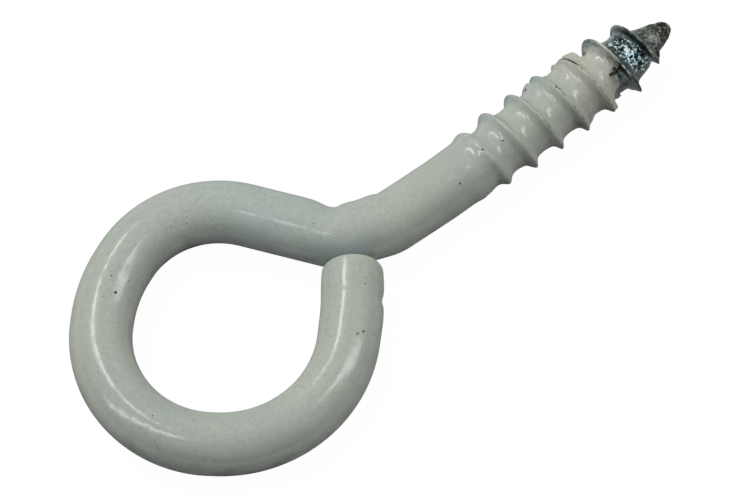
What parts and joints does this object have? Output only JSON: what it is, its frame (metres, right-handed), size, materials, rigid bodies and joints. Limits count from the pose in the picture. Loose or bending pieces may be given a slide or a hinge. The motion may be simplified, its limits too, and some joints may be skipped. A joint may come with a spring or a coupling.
{
  "type": "screw eye",
  "caption": "Screw eye of white coated steel wire: a bent eye, a cranked neck and a short shank rolled to a wood-screw thread, with the coat torn off the steel tip.",
  "frame": {"origin": "centre of the eye, in the middle plane of the wire", "axes": "+X along the screw towards its tip, +Z the axis of the eye, upwards as the part lies flat"},
  "size_m": [0.0474, 0.0205, 0.0052],
  "materials": {
    "white_coat": "gloss",
    "bare_steel": "zinc plated, worn"
  },
  "bodies": {
    "root": {"screw_eye": "white_coat"}
  },
  "joints": []
}
